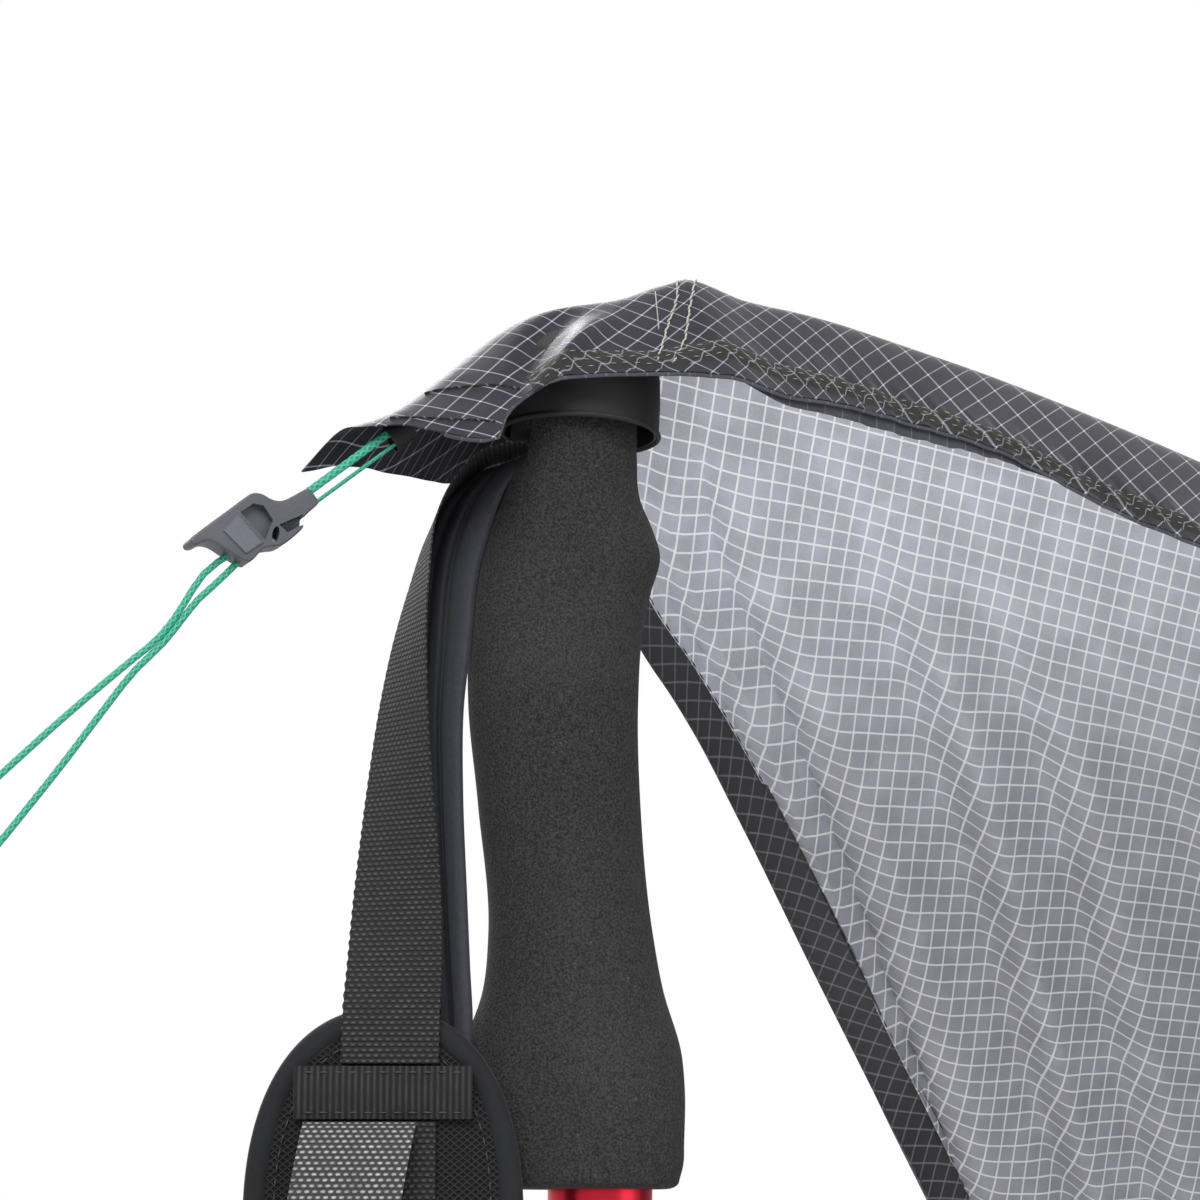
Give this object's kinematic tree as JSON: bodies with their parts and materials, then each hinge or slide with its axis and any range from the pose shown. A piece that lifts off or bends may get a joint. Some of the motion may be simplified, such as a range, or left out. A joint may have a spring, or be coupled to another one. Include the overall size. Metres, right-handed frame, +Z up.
{
  "type": "trekking pole tent",
  "caption": "Wedge-shaped single-wall shelter pitched on an adjustable trekking pole, with hooded peak, rolled door, wrist strap and line-locked front guyline.",
  "frame": {"origin": "point of the trekking pole on the ground", "axes": "+Z up along the pole, +X along the ridge towards the rear strut, -Y towards the door side"},
  "size_m": [4.115, 1.7622, 1.2005],
  "materials": {
    "hood_cloth": "dark coated ripstop with a glossy silicone sheen and a pale grid on the bias",
    "wall_cloth": "grey translucent ripstop with a white grid",
    "door_cloth": "grey ripstop, rolled",
    "hem_cloth": "dark binding and webbing",
    "pocket_band": "black flat band",
    "grip_foam": "black closed-cell foam, fine speckle",
    "strap_webbing": "charcoal webbing with a diagonal weave",
    "loop_webbing": "grey webbing",
    "strap_lining": "smooth blue-black lining with folded edges",
    "pad_mesh": "black spacer mesh",
    "red_anodised": "red anodised",
    "grey_anodised": "grey anodised",
    "steel": "plain steel",
    "dark_plastic": "dark grey moulded plastic",
    "lever_plastic": "grey moulded plastic",
    "rubber": "black rubber",
    "green_cord": "green braided cord",
    "stake_metal": "bare metal wire"
  },
  "bodies": {
    "tent": {"peak_hood": "hood_cloth", "ridge_seam": "hem_cloth", "far_wall": "wall_cloth", "far_front_hem": "hem_cloth", "far_base_hem": "hem_cloth", "near_wall": "wall_cloth", "door_edge_hem": "hem_cloth", "near_base_hem": "hem_cloth", "rear_wall": "wall_cloth", "rear_base_hem": "hem_cloth", "pole_pocket": "pocket_band", "rear_pocket": "pocket_band", "grip": "grip_foam", "strap_pin": "steel", "upper_shaft": "red_anodised", "grip_collar": "red_anodised", "upper_clamp": "dark_plastic", "upper_lever_pin": "steel", "strut_cap": "dark_plastic", "strut_upper": "grey_anodised", "strut_lower": "grey_anodised", "strut_foot": "rubber", "door_roll": "door_cloth", "door_tie_upper": "hem_cloth", "door_tie_lower": "hem_cloth", "door_toggle_upper": "dark_plastic", "door_toggle_lower": "dark_plastic", "front_guyline": "green_cord", "front_guy_loop": "hem_cloth", "far_front_loop": "hem_cloth", "far_front_stake": "stake_metal", "near_door_loop": "hem_cloth", "near_door_stake": "stake_metal", "far_rear_loop": "hem_cloth", "far_rear_stake": "stake_metal", "near_rear_loop": "hem_cloth", "near_rear_stake": "stake_metal", "guyline_stake": "stake_metal"},
    "wrist_strap": {"strap_webbing": "strap_webbing", "strap_lining": "strap_lining", "wrist_pad": "pad_mesh", "pad_binding": "strap_lining", "pad_ribbon": "strap_webbing", "pad_loop": "loop_webbing"},
    "upper_lever": {"upper_lever": "lever_plastic"},
    "mid_pole": {"mid_shaft": "grey_anodised", "lower_clamp": "dark_plastic", "lower_lever_pin": "steel"},
    "lower_lever": {"lower_lever": "lever_plastic"},
    "low_pole": {"low_shaft": "grey_anodised", "tip_ferrule": "dark_plastic", "carbide_tip": "steel", "basket": "dark_plastic"},
    "line_lock": {"front_line_lock": "dark_plastic"}
  },
  "joints": [
    {"name": "strap_swing", "type": "hinge", "parent": "tent", "child": "wrist_strap", "pos_m": [-0.01175, 0.00428, 1.16428], "axis": [0.342, 0.9397, 0], "range_deg": [0, 20]},
    {"name": "upper_lever_open", "type": "hinge", "parent": "tent", "child": "upper_lever", "pos_m": [0.0163, 0, 0.64], "axis": [0, 0, -1], "range_deg": [0, 110]},
    {"name": "mid_shaft_slide", "type": "slide", "parent": "tent", "child": "mid_pole", "axis": [0, 0, 1], "range_m": [0, 0.2]},
    {"name": "lower_lever_open", "type": "hinge", "parent": "mid_pole", "child": "lower_lever", "pos_m": [0.0153, 0, 0.34], "axis": [0, 0, -1], "range_deg": [0, 110]},
    {"name": "low_shaft_slide", "type": "slide", "parent": "mid_pole", "child": "low_pole", "axis": [0, 0, 1], "range_m": [0, 0.2]},
    {"name": "line_lock_slide", "type": "slide", "parent": "tent", "child": "line_lock", "axis": [0.7524, 0, 0.6587], "range_m": [-0.01, 0.006]}
  ]
}
